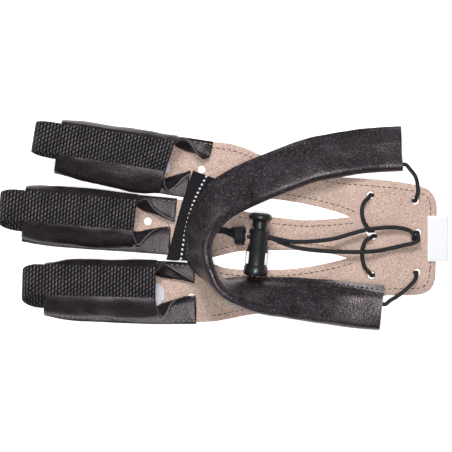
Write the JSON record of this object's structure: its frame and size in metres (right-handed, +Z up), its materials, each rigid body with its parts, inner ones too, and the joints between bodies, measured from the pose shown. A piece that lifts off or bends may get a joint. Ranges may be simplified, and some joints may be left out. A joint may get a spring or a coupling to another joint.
{
  "type": "archery glove",
  "caption": "Archery shooting glove with a suede palm panel, leather finger stalls held by webbing, a padded leather wrist strap and an elastic drawcord with a sprung cord lock.",
  "frame": {"origin": "middle of the footprint, on the surface the glove lies on", "axes": "+X from the finger tips to the wrist end, +Y across the glove toward the upper finger of the picture, +Z up"},
  "size_m": [0.2162, 0.101, 0.0254],
  "materials": {
    "suede": "tan suede, matt with a short nap",
    "leather": "black smooth leather with a soft sheen",
    "webbing": "coarse black woven elastic webbing",
    "felt": "pale grey felt pad",
    "tape": "black woven tape",
    "cord": "black braided elastic cord",
    "plastic": "black moulded plastic, half gloss",
    "label": "white woven label, bare"
  },
  "bodies": {
    "glove": {"palm_panel": "suede", "stall_upper": "leather", "stall_middle": "leather", "stall_lower": "leather", "elastic_upper": "webbing", "elastic_middle": "webbing", "elastic_lower": "webbing", "liner_upper": "felt", "liner_lower": "felt", "wrist_strap": "leather", "keeper_tape": "tape", "size_label": "label", "drawcord": "cord", "cord_knot": "cord", "lock_barrel": "plastic"},
    "button": {"lock_button": "plastic"}
  },
  "joints": [
    {"name": "button_press", "type": "slide", "parent": "glove", "child": "button", "axis": [-0.0941, -0.9956, 0], "range_m": [0, 0.0034], "stiffness_N_per_m": 300, "springref_m": -0.006}
  ]
}
